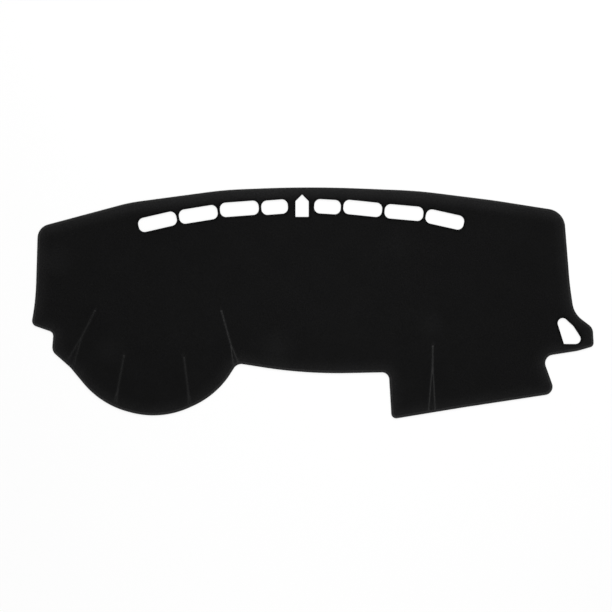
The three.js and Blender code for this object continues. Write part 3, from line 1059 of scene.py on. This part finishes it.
# Painted sheen: the colour is scaled by one plus the value stored on the felt
sheen_gain = linked_math(pile, "ADD", enter.outputs["Painted Sheen"], 1.0)
shade = linked_math(pile, "MULTIPLY", shade, sheen_gain)
pile.links.new(shaded(pile, enter.outputs["Color"], shade), leave.inputs["Color"])
rough = linked_math(pile, "ADD", linked_math(pile, "MULTIPLY", tufts, 0.12), 0.86)
pile.links.new(rough, leave.inputs["Roughness"])
height = linked_math(pile, "ADD", fibres, linked_math(pile, "MULTIPLY", tufts, 1.6))
pile.links.new(height, leave.inputs["Height"])
print("group:", pile.name, "with", len(pile.nodes), "nodes")

# %% [markdown]
# Strands twisted into a thread show as slanting ridges. The sine of the stored twist, with its sign
# dropped, gives one ridge for each turn. It drives the bump, and it also makes the colour darker
# between the strands, in painted shade, and lighter on their crests, in painted highlight.

# %% Spun thread
spun, enter, leave = new_group(
    "spun_thread",
    [("Color", COLOR, (0.02, 0.02, 0.02, 1)), ("Twist", FLOAT, 0.0)],
    [("Color", COLOR), ("Height", FLOAT)],
)
half_turns = linked_math(spun, "MULTIPLY", enter.outputs["Twist"], math.pi)
strands = linked_math(spun, "ABSOLUTE", linked_math(spun, "SINE", half_turns, 0.0), 0.0)
fuzz = object_noise(spun, scale=2600, detail=2, roughness=0.6)
lengths = object_noise(spun, scale=90, detail=3, roughness=0.6)
# Painted shade between the strands and painted highlight on their crests
painted_strand_shade = linked_math(spun, "ADD", linked_math(spun, "MULTIPLY", strands, 0.8), 0.5)
shade = linked_math(spun, "MULTIPLY", mottled(spun, fuzz, 0.8), mottled(spun, lengths, 0.5))
shade = linked_math(spun, "MULTIPLY", shade, painted_strand_shade)
spun.links.new(shaded(spun, enter.outputs["Color"], shade), leave.inputs["Color"])
rise = linked_math(spun, "ADD", strands, linked_math(spun, "MULTIPLY", fuzz, 0.6))
spun.links.new(rise, leave.inputs["Height"])
print("group:", spun.name, "with", len(spun.nodes), "nodes")

# %% [markdown]
# The group gives the velour's colour, roughness and bump. The soft light on the tips of the pile is
# the shader's sheen. It is the same all over, so it is set on the shader's own sockets.

# %% Velour material
VELOUR_COLOR = (0.0042, 0.0042, 0.0043, 1)
VELOUR_FINISH = {
    "Specular IOR Level": 0.06,
    "Sheen Weight": 0.036,
    "Sheen Roughness": 0.4,
    "Sheen Tint": (0.6, 0.6, 0.6, 1),
}

velour, tree = new_material("velour")
surface = add_node(tree, "ShaderNodeBsdfPrincipled", VELOUR_FINISH)
group = add_node(tree, "ShaderNodeGroup", {"Color": VELOUR_COLOR}, node_tree=pile)
# The painted sheen that was stored at each point of the felt
sheen_gain = add_node(tree, "ShaderNodeAttribute", attribute_name="painted_sheen")
bump = add_node(tree, "ShaderNodeBump", {"Strength": 0.8, "Distance": 0.0010})
output = add_node(tree, "ShaderNodeOutputMaterial")
tree.links.new(sheen_gain.outputs["Fac"], group.inputs["Painted Sheen"])
tree.links.new(group.outputs["Color"], surface.inputs["Base Color"])
tree.links.new(group.outputs["Roughness"], surface.inputs["Roughness"])
tree.links.new(group.outputs["Height"], bump.inputs["Height"])
tree.links.new(bump.outputs["Normal"], surface.inputs["Normal"])
tree.links.new(surface.outputs[0], output.inputs["Surface"])
felt.data.materials.append(velour)
print("velour:", len(tree.nodes), "nodes")

# %% [markdown]
# ## Thread and silicone
#
# The threads are spun and smoother than the felt, so they shine a little more. Their strands show
# by bump and by painted shade and highlight in the colour, which follow the twist that was stored
# on each stitch. The dots are silicone: smooth, dark and slightly cloudy.

# %% Thread and silicone materials
THREAD_FINISH = {
    "Roughness": 0.6,
    "Specular IOR Level": 0.14,
    "Sheen Weight": 0.05,
    "Sheen Roughness": 0.5,
}


def thread_material(name, color):
    material, tree = new_material(name)
    surface = add_node(tree, "ShaderNodeBsdfPrincipled", THREAD_FINISH)
    group = add_node(tree, "ShaderNodeGroup", {"Color": color}, node_tree=spun)
    twist = add_node(tree, "ShaderNodeAttribute", attribute_name="twist")
    bump = add_node(tree, "ShaderNodeBump", {"Strength": 0.7, "Distance": 0.0002})
    output = add_node(tree, "ShaderNodeOutputMaterial")
    tree.links.new(twist.outputs["Fac"], group.inputs["Twist"])
    tree.links.new(group.outputs["Color"], surface.inputs["Base Color"])
    tree.links.new(group.outputs["Height"], bump.inputs["Height"])
    tree.links.new(bump.outputs["Normal"], surface.inputs["Normal"])
    tree.links.new(surface.outputs[0], output.inputs["Surface"])
    return material


# The hem thread's own dark grey, made lighter than the felt with painted sheen
HEM_THREAD_COLOR_AND_SHEEN = (0.0150, 0.0150, 0.0151, 1)
# The darts are sewn with one thread. Its tone is painted per seam for the light that falls there:
# nearly as black as the felt at the hood, in painted shade, and greyer towards the glovebox, in
# painted light.
DART_THREAD_PAINTED_LIGHT = {
    "hood_dart_seam_1": 0.0070,
    "hood_dart_seam_2": 0.0085,
    "hood_dart_seam_3": 0.0090,
    "hood_dart_seam_4": 0.0230,
    "glovebox_dart_seam": 0.0250,
}

hem_thread = thread_material("hem_thread", HEM_THREAD_COLOR_AND_SHEEN)
overlock.data.materials.append(hem_thread)
needle_line.data.materials.append(hem_thread)
# Each dart's thread gets its own tone of painted light and shade
for name, seam in seams.items():
    seam.data.materials.append(thread_material(name + "_thread", (DART_THREAD_PAINTED_LIGHT[name],) * 3 + (1,)))

CLEAR_SILICONE, CLOUDY_SILICONE = (0.012, 0.012, 0.013, 1), (0.028, 0.028, 0.03, 1)
silicone, tree = new_material("grip_silicone")
surface = add_node(tree, "ShaderNodeBsdfPrincipled", {"Roughness": 0.35, "Specular IOR Level": 0.5})
cloudy = object_noise(tree, scale=40, detail=2)
shades = add_node(tree, "ShaderNodeMix", data_type="RGBA")
shades.inputs["A"].default_value = CLEAR_SILICONE
shades.inputs["B"].default_value = CLOUDY_SILICONE
output = add_node(tree, "ShaderNodeOutputMaterial")
tree.links.new(cloudy, shades.inputs["Factor"])
tree.links.new(shades.outputs["Result"], surface.inputs["Base Color"])
tree.links.new(surface.outputs[0], output.inputs["Surface"])
dots.data.materials.append(silicone)
print("materials:", hem_thread.name, "and", len(seams), "for the darts,", silicone.name)

# %% [markdown]
# ## Tie the pieces to the model
#
# Every piece rides on the one body of the mat. The felt and the threads stand for a imported node
# each and replace it, while the needle line and the dots have no node of their own.

stands_for = {felt: ("mat_sheet", "velour"), overlock: ("edge_overlock", "thread")}
stands_for.update({seam: (name, "thread") for name, seam in seams.items()})
for piece, (node, slot) in stands_for.items():
    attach(piece, "root")
    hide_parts(node)
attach(needle_line, "root")
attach(dots, "root")
